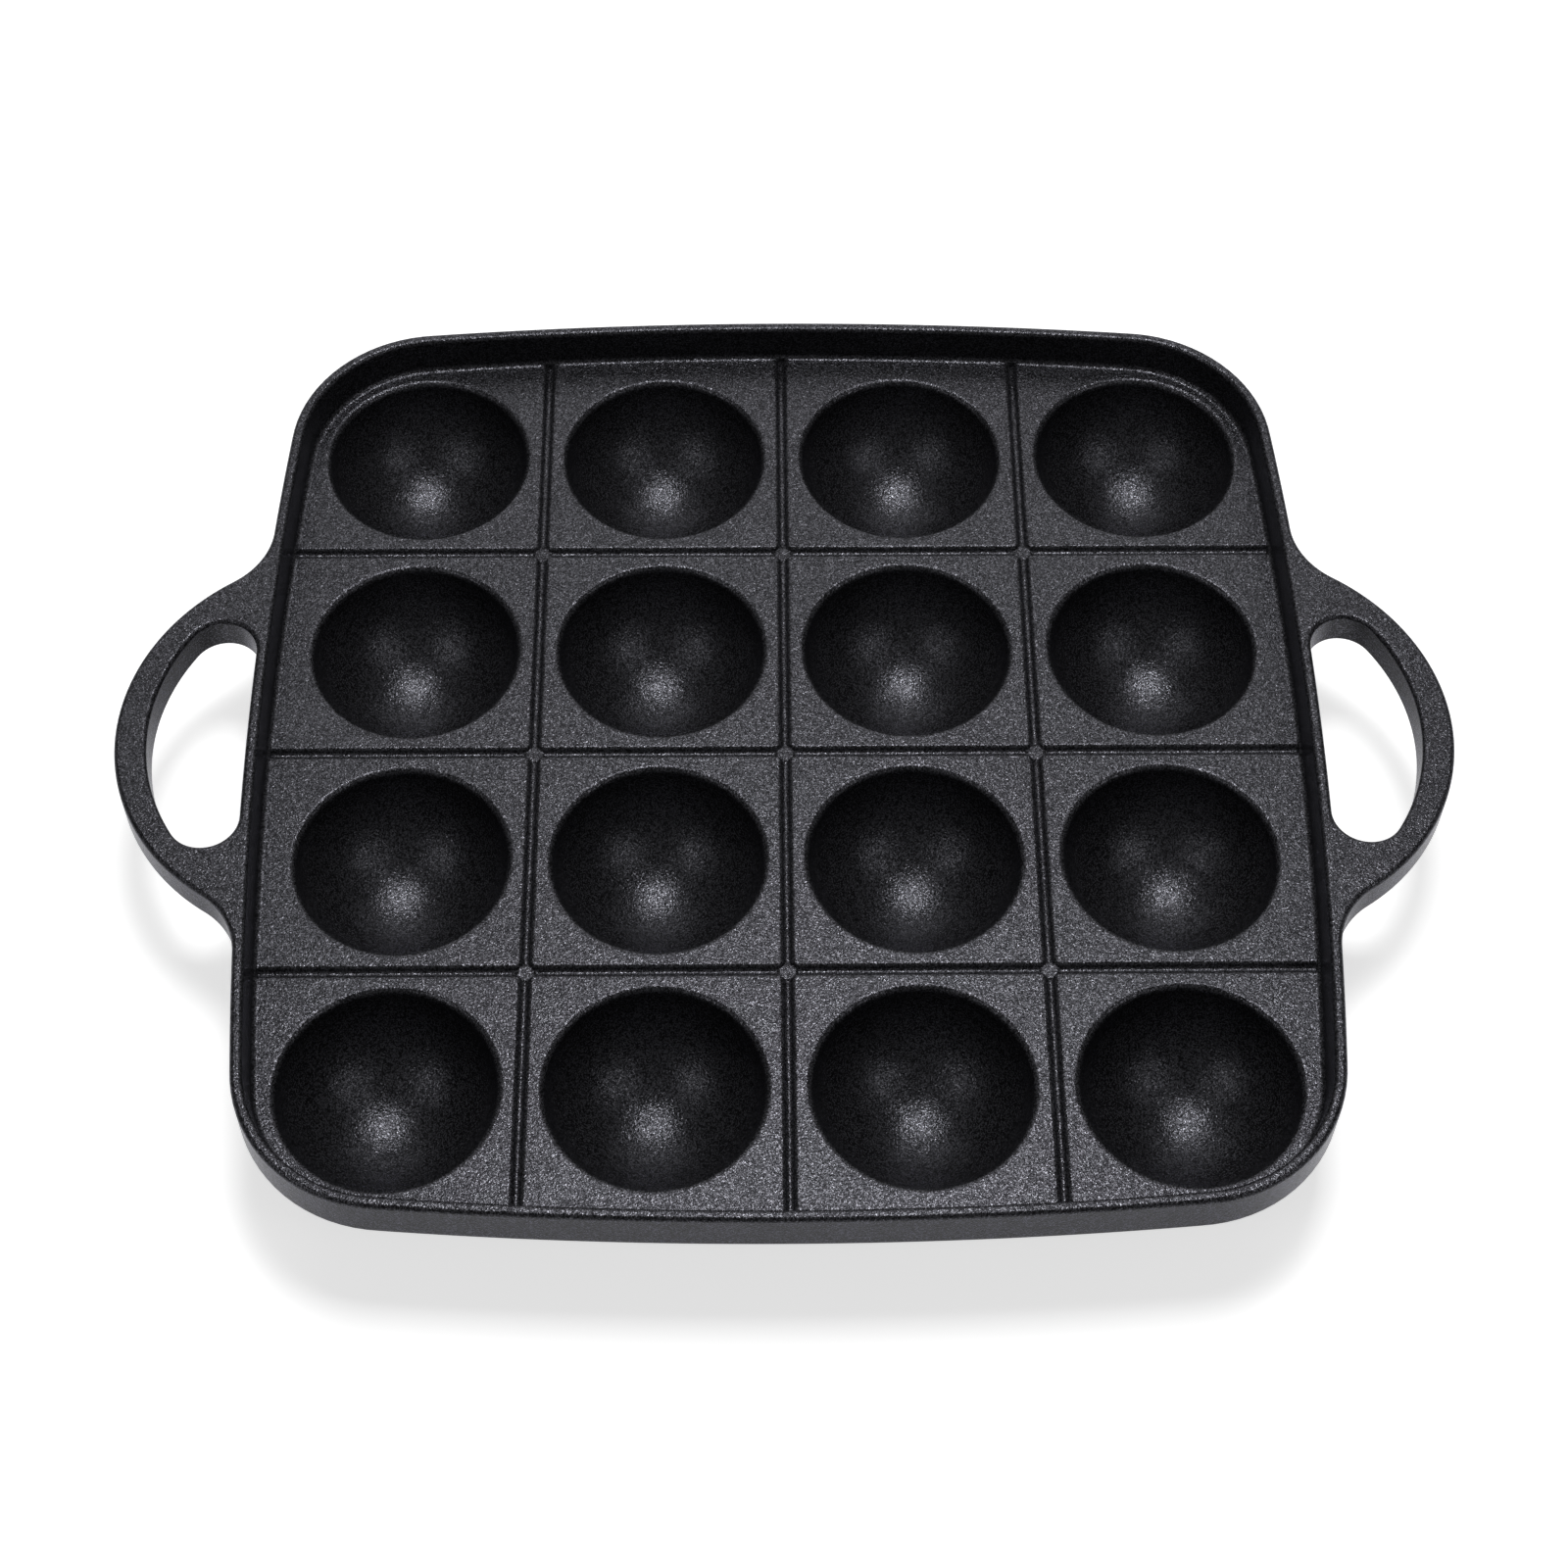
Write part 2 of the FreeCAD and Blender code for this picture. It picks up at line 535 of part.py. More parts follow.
def split(casting):
    """The casting's regions, by the names of the pieces."""
    wide = f"2 * ({HALF} + sizes.handle_reach + sizes.cut_over)"
    tall = f"({RIM_TOP} + sizes.cut_over)"
    seam = f"({HALF} + sizes.seam_gap)"
    half_wide = f"({wide}) / 2"
    regions = {}
    for name, low in (("left_handle", f"-{half_wide}"), ("right_handle", seam)):
        size = (f"{half_wide} - {seam}", wide, tall)
        end = block(f"{name}_space", (low, f"-{half_wide}", "0"), size)
        regions[name] = boolean("Part::Common", name, casting, end)

    cutter = doc.addObject("PartDesign::Body", "plate_space")
    inner = sketch_on(cutter, "XY_Plane", "plate_outline", out=UNDERSIDE)
    outline(inner, inset=PLATE_INSET)
    extrude(cutter, "PartDesign::Pad", "plate_block", inner, f"{tall} - {UNDERSIDE}")
    below = sketch_on(cutter, "XY_Plane", "bulge_outline")
    outline(below)
    extrude(cutter, "PartDesign::Pad", "bulge_block", below, UNDERSIDE)
    plate = boolean("Part::Common", "plate_and_wells", casting, cutter)

    between = block("rim_space", (f"-{seam}", f"-{half_wide}", "0"), (f"2 * {seam}", wide, tall))
    ring = boolean("Part::Common", "rim_and_plate", casting, between)
    regions["rim_wall"] = boolean("Part::Cut", "rim_wall", ring, cutter)

    wells = round(mm("sizes.wells_per_side"))
    tiles = []
    for across in range(wells):
        for along in range(wells):
            low, size = zip(cell_span(across, wells), cell_span(along, wells))
            name = f"{across + 1}_{along + 1}"
            cell = block(f"cell_{name}", (*low, "0"), (*size, tall))
            tiles.append(boolean("Part::Common", f"well_{name}", plate, cell))
    regions["well_plate"] = doc.addObject("Part::Compound", "well_plate")
    regions["well_plate"].Links = tiles
    doc.recompute()
    return regions


def cell_span(number, wells):
    """Where a row of the grid starts and how wide it is. The outermost rows reach the rim."""
    spare = "sizes.edge_margin"
    before = f" - {spare}" if number == 0 else ""
    width = "sizes.well_pitch" + f" + {spare}" * ((number == 0) + (number == wells - 1))
    return f"({number} - sizes.wells_per_side / 2) * sizes.well_pitch{before}", width


casting = doc.addObject("PartDesign::Body", "casting")
add_tray(casting)
add_wells(casting)
add_grooves(casting)
pieces = split(casting)

failed = [o.Name for o in doc.Objects if {"Invalid", "Error"} & set(o.State)]
if failed:
    raise RuntimeError(f"these objects failed to recompute: {failed}")
for name, piece in pieces.items():
    piece.Label = name
    if piece.Shape.isNull() or not piece.Shape.isValid() or not piece.Shape.Solids:
        raise RuntimeError(f"{name} is not a valid solid")
    print(name, len(piece.Shape.Solids), "solids", round(piece.Shape.Volume), "mm3")
print("casting", round(casting.Shape.Volume), "mm3")

os.makedirs("parts", exist_ok=True)
for name, piece in pieces.items():
    piece.Shape.exportStep(f"parts/{name}.step")
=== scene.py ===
# %% [markdown]
# A sixteen-well takoyaki pan, dressed for a picture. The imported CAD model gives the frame: four
# regions of one casting, with the right sizes and places. This file lays a finer skin over each
# of them, because cast aluminium under a non-stick coating shows every rounding as a line of
# light, and those lines have to run on smoothly from one region to the next.
#
# All shapes are worked out in millimetres and written to the meshes in metres.

import bpy
import numpy as np
from mathutils import Euler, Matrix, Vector


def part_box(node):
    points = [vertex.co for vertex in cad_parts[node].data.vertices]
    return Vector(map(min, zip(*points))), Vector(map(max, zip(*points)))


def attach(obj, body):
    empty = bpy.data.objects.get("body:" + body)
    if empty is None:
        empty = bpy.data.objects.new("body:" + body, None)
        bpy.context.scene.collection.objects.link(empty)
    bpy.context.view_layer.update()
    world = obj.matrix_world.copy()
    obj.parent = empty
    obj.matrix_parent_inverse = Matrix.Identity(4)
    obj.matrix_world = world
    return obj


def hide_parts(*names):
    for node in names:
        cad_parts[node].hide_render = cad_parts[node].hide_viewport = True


MM = 0.001  # a millimetre in metres

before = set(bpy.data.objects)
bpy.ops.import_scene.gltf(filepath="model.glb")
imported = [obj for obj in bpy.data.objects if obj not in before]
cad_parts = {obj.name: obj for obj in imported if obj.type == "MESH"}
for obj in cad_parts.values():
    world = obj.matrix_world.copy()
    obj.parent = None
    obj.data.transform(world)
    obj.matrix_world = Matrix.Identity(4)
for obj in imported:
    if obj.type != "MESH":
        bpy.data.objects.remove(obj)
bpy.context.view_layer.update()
print("nodes of the frame:", sorted(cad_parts))

# %% [markdown]
# The camera comes first, since every later choice is judged through it. It stands about 0.66 m
# away, in front of the pan and above it, and looks down at 57 degrees with a long lens, as
# someone standing at a table would look at it.

# %% camera
lens = bpy.data.cameras.new("standing_view")
lens.lens = 70.9696
lens.sensor_width = 36.0
camera = bpy.data.objects.new("standing_view", lens)
camera.location = (-0.0067526, -0.3558607, 0.5574173)
camera.rotation_euler = Euler(np.radians((33.12395, -0.33322, -0.54534)), "XYZ")
bpy.context.scene.collection.objects.link(camera)
bpy.context.scene.camera = camera
print("camera", round(camera.location.length, 3), "m away, with a", round(lens.lens, 1), "mm lens")

# %% [markdown]
# The pan's own sizes. Nearly all are the named values of the CAD source, so that the skin lies in
# the same place, and one node's box is measured against them straight away. Only the edges that
# the light picks out are fuller here. The lips of the wells and of the grooves are rounder than
# in the CAD model, and so the bowls are half a millimetre tighter and the grooves' beds narrower.

# %% sizes in millimetres
PITCH = 52.0  # from well to well
HALF = 110.37  # middle of the pan to the middle of a side, a hair inside the CAD face
SIDE_BOW = 936.0  # radius of the slightly bowed sides
CORNER = 31.2  # radius of the corners
DECK = 24.4  # level of the flat between the wells
UNDERSIDE = 21.8  # level under the deck
RIM_TOP = 32.8  # level of the rim's crown
BOWL = 21.5  # radius of a well, centred on the deck's level
LIP = 1.4  # rounding where a well meets the deck
BULGE = 25.0  # radius of the bulge under a well
BULGE_ROOT = 0.8  # hollow rounding where a bulge meets the underside
RIM_WIDTH = 2.4  # rim across its crown
DRAFT = 6.0  # lean of the rim's inner face, in degrees
FOOT = 1.2  # hollow rounding where the rim meets the deck
ROUND = 1.0  # rounding of the crown, of the skirt at its foot and of the handles' upper edges
SEAM = 4.983  # where the deck's skin meets the rim's, in from the outer face
GROOVE = 0.8  # radius of a groove's bed
GROOVE_SUNK = 0.4  # centre of the bed's circle below the deck
GROOVE_LIP = 0.93  # rounding of a groove's lips
CROSSING = 1.5  # radius of the flat where two grooves cross
CROSSING_DEPTH = 0.9  # that flat below the deck

rim_high = np.array(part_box("rim_wall")[1]) / MM
print("rim node reaches", rim_high.round(3), "against", HALF, "and", RIM_TOP)

# %% [markdown]
# A surface here is a patch: a grid of points, with the direction that the surface faces at each
# of them. The directions come from the same formula as the points, so a rounding only 1 mm across
# shades as a true rounding and the flat beside it stays flat. A Bevel modifier on a coarse mesh
# would be quicker to write, but it shades unevenly where a rounding runs from a flat into a
# sphere. Neighbouring patches share their edge points exactly, so when a piece is written the
# points that coincide are joined, and that closes it.


# %% helper: parts of a section
def arc(centre, radius, first, last, steps, hollow=False):
    """Part of a circle: centre + radius * (cos turn, sin turn), with the turn running evenly from
    first to last in degrees. It faces away from its centre, or towards it where it is hollow."""
    turn = np.radians(np.linspace(first, last, steps + 1))
    outward = np.stack([np.cos(turn), np.sin(turn)], 1)
    return np.array(centre) + radius * outward, -outward if hollow else outward


def straight(start, end, facing, steps=1):
    """A straight part in even steps, start + share * (end - start), facing one way throughout."""
    share = np.linspace(0, 1, steps + 1)[:, None]
    points = np.array(start) * (1 - share) + np.array(end) * share
    return points, np.tile(np.array(facing, float) / np.hypot(*facing), (steps + 1, 1))


def section(*parts):
    """One section from its parts, end to end."""
    return tuple(np.concatenate(arrays) for arrays in zip(*parts))


def upright(level_part, z):
    """Points or directions in space from their two level parts and their upright part."""
    return np.concatenate([level_part, np.broadcast_to(z, level_part.shape[:-1])[..., None]], -1)


# %% helper: the same patches at all four sides
def turned(vectors, quarters):
    """Points or directions after quarter turns about the upright axis: (x, y) to (-y, x)."""
    x, y, z = np.moveaxis(vectors, -1, 0)
    for _ in range(quarters):
        x, y = -y, x
    return np.stack([x, y, z], -1)


def turned_patch(patch, quarters):
    """A patch after quarter turns, its points and its directions alike."""
    return tuple(turned(vectors, quarters) for vectors in patch)


def four_times(patches):
    """The patches of one side, repeated at the four sides of the pan."""
    return [turned_patch(patch, quarters) for quarters in range(4) for patch in patches]


# %% helper: quads of a patch
def quads_of(points, facing):
    """Corner numbers of a grid's quads, wound so that they face the way the surface faces: the
    cross product of a quad's diagonals is measured against the directions at its corners."""
    rows, columns = points.shape[:2]
    at = np.arange(rows * columns).reshape(rows, columns)
    quads = np.stack([at[:-1, :-1], at[1:, :-1], at[1:, 1:], at[:-1, 1:]], -1).reshape(-1, 4)
    corners = points.reshape(-1, 3)[quads]
    across = np.cross(corners[:, 2] - corners[:, 0], corners[:, 3] - corners[:, 1])
    agreement = (across * facing.reshape(-1, 3)[quads].sum(1)).sum()
    return quads if agreement > 0 else quads[:, ::-1]


# %% helper: points that coincide
WELD = 0.001  # in millimetres: points in one cell of this size are one point
CELL_SHIFT = 0.37  # in cells: keeps round figures away from the borders between cells
CELL_BITS = 21  # bits of a cell's number along one axis; its key is three such numbers in a row


def welded(points):
    """The first point of every cell of space that holds any, and the number of each point's
    cell among them."""
    cell = np.floor(points / WELD + CELL_SHIFT).astype(np.int64) + 2 ** (CELL_BITS - 1)
    key = (cell[:, 0] << 2 * CELL_BITS) | (cell[:, 1] << CELL_BITS) | cell[:, 2]
    first, number = np.unique(key, return_index=True, return_inverse=True)[1:]
    return first, number.reshape(-1)


# %% helper: patches into one closed mesh
def closed_mesh(name, patches):
    """A mesh from patches. Points that coincide are joined. Quads with no width are left out,
    and those with one side gone become triangles. Each corner keeps its patch's direction."""
    points, facing = (np.concatenate([grid.reshape(-1, 3) for grid in grids]) for grids in zip(*patches))
    counts = [len(grid) * len(grid[0]) for grid, _ in patches]
    starts = np.cumsum([0] + counts[:-1])
    corners = np.concatenate([quads_of(*patch) + start for patch, start in zip(patches, starts)])

    first, number = welded(points)
    ids = number[corners]
    keep = ids != np.roll(ids, 1, axis=1)  # a corner goes where it repeats the one before
    stays = (keep.sum(1) > 2) & (ids[:, 0] != ids[:, 2]) & (ids[:, 1] != ids[:, 3])
    keep &= stays[:, None]  # and so do all the corners of a quad with no width
    sides = keep.sum(1)[stays]

    mesh = bpy.data.meshes.new(name)
    mesh.vertices.add(len(first))
    mesh.vertices.foreach_set("co", (points[first] * MM).astype(np.float32).ravel())
    mesh.loops.add(int(sides.sum()))
    mesh.loops.foreach_set("vertex_index", ids[keep].astype(np.int32))
    mesh.polygons.add(len(sides))
    mesh.polygons.foreach_set("loop_start", np.cumsum(np.r_[0, sides[:-1]]).astype(np.int32))
    mesh.update(calc_edges=True)
    direction = facing[corners][keep]
    mesh.normals_split_custom_set((direction / np.linalg.norm(direction, axis=1)[:, None]).tolist())
    return mesh


# %% helper: what a mesh came to
CUBIC_CM = 1e-6  # in cubic metres


def measured(mesh):
    """Triangles, edges that don't join exactly two faces, and the volume, which is positive where
    the faces point outwards: a sixth of the sum of a . (b x c) over the triangles (a, b, c)."""
    edge = np.zeros(len(mesh.loops), np.int32)
    mesh.loops.foreach_get("edge_index", edge)
    open_edges = int((np.bincount(edge, minlength=len(mesh.edges)) != 2).sum())
    mesh.calc_loop_triangles()
    corner = np.zeros(len(mesh.loop_triangles) * 3, np.int32)
    mesh.loop_triangles.foreach_get("vertices", corner)
    place = np.zeros(len(mesh.vertices) * 3, np.float32)
    mesh.vertices.foreach_get("co", place)
    a, b, c = place.reshape(-1, 3)[corner.reshape(-1, 3)].astype(float).transpose(1, 0, 2)
    volume = (a * np.cross(b, c)).sum() / 6 / CUBIC_CM
    return f"{len(a)} triangles, {open_edges} open edges, {volume:.2f} cubic cm"


# %% [markdown]
# A groove is a shallow half-round channel between two rows of wells, with rounded lips that
# catch the light. One section serves all six of them: a lip that turns down from the deck, the
# hollow bed, and the other lip. The same shape is also needed as a depth at any distance from
# the groove's middle line, for the places where grooves cross and where they run into the rim.

# %% the groove's section
apart = GROOVE_LIP - GROOVE_SUNK  # height between the centres of the bed's and the lip's circles
GROOVE_EDGE = np.sqrt((GROOVE + GROOVE_LIP) ** 2 - apart**2)  # middle line to the lip's outer end
TOUCH = np.degrees(np.arctan2(apart, GROOVE_EDGE))  # slope of the line between the two centres

near_lip = arc((-GROOVE_EDGE, DECK - GROOVE_LIP), GROOVE_LIP, 90, TOUCH, steps=5)
bed = arc((0, DECK - GROOVE_SUNK), GROOVE, TOUCH - 180, -TOUCH, steps=8, hollow=True)
far_lip = arc((GROOVE_EDGE, DECK - GROOVE_LIP), GROOVE_LIP, 180 - TOUCH, 90, steps=5)
GROOVE_AT, GROOVE_FACING = section(near_lip, [part[1:-1] for part in bed], far_lip)
ACROSS = GROOVE_AT[:, 0]
print("a groove is", round(2 * GROOVE_EDGE, 2), "mm over its lips,", len(ACROSS), "points across")


def groove_depth(across):
    """Depth below the deck: the bed's circle, then the lip's circle, then nothing."""
    across = np.abs(across)
    deep = np.sqrt(np.maximum(GROOVE**2 - across**2, 0)) + GROOVE_SUNK
    lip = GROOVE_LIP - np.sqrt(np.maximum(GROOVE_LIP**2 - (GROOVE_EDGE - across) ** 2, 0))
    in_bed = across < GROOVE * np.cos(np.radians(TOUCH))
    return np.where(in_bed, deep, np.where(across < GROOVE_EDGE, lip, 0.0))


# %% [markdown]
# The outline of the pan is a square with barely bowed sides and round corners: four wide arcs
# and four corner arcs, each tangent to the next. Everything round the edge is built on stations
# of that outline. A station is the middle of its arc, the way out from there and the arc's
# radius, so a point at any distance in from the outer face is one short sum, and lines at
# different distances in stay parallel.

# %% where a side hands over to its corner
SIDE_MIDDLE = HALF - SIDE_BOW
TURN = np.arccos(-SIDE_MIDDLE / (SIDE_BOW - CORNER) / np.sqrt(2)) - np.pi / 4
CORNER_MIDDLE = (SIDE_BOW - CORNER) * np.sin(TURN)
SEAM_BOW = SIDE_BOW - SEAM
print("sides hand over at", np.degrees(TURN).round(3), "degrees to corners about", CORNER_MIDDLE.round(3))

# %% stations of one side
# Each is (angle of the way out, distance from the nearest groove's middle).
CLEAR = 0.45  # past a groove's lip, the rim's foot is whole again after this distance
RUN = 18  # steps along one well's side
CORNER_RUN = 20  # steps from the last groove to the middle of a corner


def corner_stations():
    """From the last groove up to 45 degrees, evenly along the seam: on the side the angle
    grows by way / seam radius, and on the corner by way / its own smaller seam radius. One more
    station lies just beside the groove."""
    start = np.arcsin((PITCH + GROOVE_EDGE) / SEAM_BOW)
    on_side = SEAM_BOW * (TURN - start)
    way = np.linspace(0, on_side + (CORNER - SEAM) * (np.pi / 4 - TURN), CORNER_RUN + 1)[1:]
    way = np.r_[CLEAR, way]
    angle = np.where(way < on_side, start + way / SEAM_BOW, TURN + (way - on_side) / (CORNER - SEAM))
    return np.stack([angle, GROOVE_EDGE + way], 1)


def groove_stations(middle):
    """One station for each point of the groove's section."""
    return np.stack([np.arcsin((middle + ACROSS) / SEAM_BOW), ACROSS], 1)


def well_stations(low):
    """Between two grooves, evenly along the side, with one more just beside each groove. low is
    the place of the first groove's middle."""
    along = np.linspace(GROOVE_EDGE, PITCH - GROOVE_EDGE, RUN + 1)[1:-1]
    along = np.r_[GROOVE_EDGE + CLEAR, along, PITCH - GROOVE_EDGE - CLEAR]
    nearest = np.where(along < PITCH / 2, along, along - PITCH)
    return np.stack([np.arcsin((low + along) / SEAM_BOW), nearest], 1)


upper_corner = corner_stations()
lower_corner = upper_corner[::-1] * (-1, -1)
runs = [lower_corner, groove_stations(-PITCH), well_stations(-PITCH), groove_stations(0.0),
        well_stations(0.0), groove_stations(PITCH), upper_corner[:-1]]
angle, offset = np.concatenate(runs).T
PER_SIDE = len(angle)
GROOVE_STARTS = np.cumsum([len(run) for run in runs])[[0, 2, 4]]
GROOVE_ENDS = GROOVE_STARTS + len(ACROSS) - 1
GROOVE_MIDDLES = (GROOVE_STARTS + GROOVE_ENDS) // 2
print(PER_SIDE, "stations on each side, grooves start at", GROOVE_STARTS)


# %% all stations, counter-clockwise from the lower right corner
def at_four_sides(level_vectors):
    """The level points or directions of one side, repeated at the four sides."""
    return np.concatenate([turned(upright(level_vectors, 0.0), quarters)[:, :2] for quarters in range(4)])


on_corner = np.abs(angle) >= TURN
corner_arcs = np.stack([np.full(PER_SIDE, CORNER_MIDDLE), np.sign(angle) * CORNER_MIDDLE], 1)
MIDDLES = at_four_sides(np.where(on_corner[:, None], corner_arcs, (SIDE_MIDDLE, 0.0)))
OUT = at_four_sides(np.stack([np.cos(angle), np.sin(angle)], 1))
BOWS = np.tile(np.where(on_corner, CORNER, SIDE_BOW), 4)
OFFSET = np.tile(offset, 4)
RING = np.arange(len(BOWS) + 1) % len(BOWS)  # all the way round, with the first station again
print(len(BOWS), "stations in all")


# %% lines and sections along the stations
def set_in(stations, inset):
    """Level points at that distance in from the outer face: middle + (radius - inset) * way out."""
    return MIDDLES[stations] + OUT[stations] * (BOWS[stations] - inset)[..., None]


def rim_line(inset, first, last):
    """The line at that distance in from the outer face, from one station to another."""
    return set_in(np.arange(first, last + 1) % len(BOWS), inset)


def carried(part, start, way):
    """A section of (distance, level) carried along a line of level starts and ways: start +
    distance * way, with its directions turned into those ways too."""
    (distance, level), (forward, up) = part[0].T[..., None], part[1].T[..., None]
    return upright(start + distance[..., None] * way, level), upright(forward[..., None] * way, up)


seam = rim_line(SEAM, 0, len(BOWS))
print("the seam is", np.linalg.norm(np.diff(seam, axis=0), axis=1).sum().round(1), "mm long")

# %% [markdown]
# Each well is a half ball, open at the top, with a rounded lip where it meets the deck. The
# ball could be a UV sphere cut in half, but then its rings wouldn't meet the straight grooves
# beside it. Here a well's rays run out from its middle to the stations on the border of its
# own cell, so ball, lip and deck are one grid and the cells close against each other.

# %% borders of a quarter's cells
CROSS_HALF = 2.6  # half of the square patch where two grooves cross
CROSS_STEPS = np.linspace(GROOVE_EDGE, CROSS_HALF, 4)  # from a groove's lip to that patch's corner
INNER, OUTER = PITCH / 2, 1.5 * PITCH  # middles of the wells, from the middle of the pan


def notch(x, y, right, up):
    """The border of a cell where it steps round a crossing at (x, y): along one edge of the
    crossing's square and back along the other. right and up say on which side the cell is."""
    far = np.full_like(CROSS_STEPS, CROSS_HALF)
    path = np.concatenate([np.stack([CROSS_STEPS, far], 1), np.stack([far, CROSS_STEPS[::-1]], 1)])
    return np.array((x, y)) + (path if right == up else path[::-1]) * (right, up)


def border(*pieces):
    """A closed border: the pieces in order, counter-clockwise, joined by straight runs."""
    share = np.linspace(0, 1, RUN + 1)[:, None]
    lines = []
    for piece, after in zip(pieces, pieces[1:] + pieces[:1]):
        lines += [piece, piece[-1] * (1 - share) + after[0] * share]
    return np.concatenate(lines)


def quarter_cells(corner, inset, leaves, arrives):
    """Middle and border of the four cells in a quarter of the pan: the inner one, two beside the
    rim and the one at the rim's corner. corner(x, y, right, up) gives the border where it passes
    a crossing. Beside the rim the border is the line at that inset, from the groove's station in
    leaves to the next groove's in arrives."""
    inner = border(corner(0, 0, 1, 1), corner(PITCH, 0, -1, 1),
                   corner(PITCH, PITCH, -1, -1), corner(0, PITCH, 1, -1))
    cells = [((INNER, INNER), inner)]
    for groove, low in ((0, -PITCH), (1, 0)):
        side = rim_line(inset, leaves[groove], arrives[groove + 1])
        beside = border(side, corner(PITCH, low + PITCH, 1, -1), corner(PITCH, low, 1, 1))
        cells.append(((OUTER, low + INNER), beside))
    bend = rim_line(inset, leaves[2], arrives[0] + PER_SIDE)
    return cells + [((OUTER, OUTER), border(bend, corner(PITCH, PITCH, 1, 1)))]


deck_cells = quarter_cells(notch, SEAM, GROOVE_ENDS, GROOVE_STARTS)
print("stations on the borders of four cells:", [len(line) for _, line in deck_cells])


# %% a section spun about the middle of a cell and spread to its border
def cell_patches(middle, line, spun, way_up):
    """The section (distance, level) along every ray to the border: middle + distance * ray.
    Past the section's end, one flat ring reaches the border itself."""
    ray = line - middle
    ray /= np.linalg.norm(ray, axis=1)[:, None]
    ball = carried(spun, middle, ray)
    ring = np.stack([ball[0][-1], upright(line, spun[0][-1, 1])])
    return [ball, (ring, np.broadcast_to((0.0, 0.0, way_up), ring.shape))]


lean = np.degrees(np.arcsin(LIP / (BOWL + LIP)))
lip_middle = np.sqrt((BOWL + LIP) ** 2 - LIP**2)
well_section = section(
    arc((0, DECK), BOWL, -90, -lean, steps=21, hollow=True),
    arc((lip_middle, DECK - LIP), LIP, 180 - lean, 90, steps=7),
)
wells = [patch for middle, line in deck_cells for patch in cell_patches(middle, line, well_section, 1.0)]
print("a well's lip ends", lip_middle.round(3), "mm from its middle")

# %% [markdown]
# Under the deck every well shows as a bulge with a small flat that the pan stands on. It is
# made the same way as the well, facing down: flat, ball, hollow root and underside. Out here
# there are no grooves, so the cells are plain squares.


# %% bulges and underside
def plain_corner(x, y, *_):
    """The corner of a square cell, whichever side the cell is on."""
    return np.array([(x, y)], float)


under_cells = quarter_cells(plain_corner, ROUND, GROOVE_MIDDLES, GROOVE_MIDDLES)
flat_reach = np.sqrt(BULGE**2 - DECK**2)
root_drop = DECK - UNDERSIDE + BULGE_ROOT
root_middle = np.sqrt((BULGE + BULGE_ROOT) ** 2 - root_drop**2)
root_touch = np.degrees(np.arctan2(root_drop, root_middle))
bulge_section = section(
    straight((0, 0), (flat_reach, 0), (0, -1)),
    arc((0, DECK), BULGE, -np.degrees(np.arctan2(DECK, flat_reach)), -root_touch, steps=12),
    arc((root_middle, UNDERSIDE - BULGE_ROOT), BULGE_ROOT, 180 - root_touch, 90, steps=3, hollow=True),
)
bulges = [patch for middle, line in under_cells for patch in cell_patches(middle, line, bulge_section, -1.0)]
print("a bulge stands on a flat", (2 * flat_reach).round(2), "mm across")

# %% [markdown]
# The grooves lie between the cells: their section carried along a straight line, from one
# crossing to the next or out to the seam with the rim. Where two grooves cross, a small round
# flat is left, a little shallower than the beds. Two hollows meet there, so the surface is
# written as a depth: the eighth root of the sum of both depths to the eighth power. That is
# nearly the deeper one, with the edge between them just softened, and it equals a groove's own
# depth where the other is nothing, so it joins the groove exactly. Towards the middle that depth
# eases over into the flat's.


# %% grooves
def groove_strip(y, start, end):
    """The groove's section along x from start to end, which may differ across the groove."""
    share = np.linspace(0, 1, RUN + 1)[:, None]
    x = start * (1 - share) + end * share
    places = np.stack([x, np.broadcast_to(y + ACROSS, x.shape)], -1)
    facing = np.stack([np.zeros(len(ACROSS)), *GROOVE_FACING.T], -1)
    return upright(places, GROOVE_AT[:, 1]), np.broadcast_to(facing, x.shape + (3,))


grooves = []
for y in (-PITCH, 0.0, PITCH):
    seam_x = SIDE_MIDDLE + np.sqrt(SEAM_BOW**2 - (y + ACROSS) ** 2)
    grooves.append(groove_strip(y, np.full(len(ACROSS), CROSS_HALF), PITCH - CROSS_HALF))
    grooves.append(groove_strip(y, np.full(len(ACROSS), PITCH + CROSS_HALF), seam_x))
print(4 * len(grooves), "lengths of groove")

# %% crossings
FLAT_EDGE = 2.1  # the flat has gone over into the grooves at this distance
POWER = 8  # of the sum of depths: the higher, the sharper the edge between two beds


def eased(share):
    """0 below 0, 1 above 1, and 3s^2 - 2s^3 between."""
    share = np.clip(share, 0, 1)
    return share * share * (3 - 2 * share)


def crossing_depth(x, y):
    """(a^8 + b^8)^(1/8) of the two grooves' depths, eased into the flat's depth about (0, 0)."""
    beds = (groove_depth(x) ** POWER + groove_depth(y) ** POWER) ** (1 / POWER)
    outer = eased((np.hypot(x, y) - CROSSING) / (FLAT_EDGE - CROSSING))
    return CROSSING_DEPTH * (1 - outer) + beds * outer


def slopes(height, x, y):
    """How steeply height(x, y) climbs along x and along y: its change over a tiny step."""
    tiny = 1e-4
    along_x = (height(x + tiny, y) - height(x - tiny, y)) / (2 * tiny)
    along_y = (height(x, y + tiny) - height(x, y - tiny)) / (2 * tiny)
    return along_x, along_y


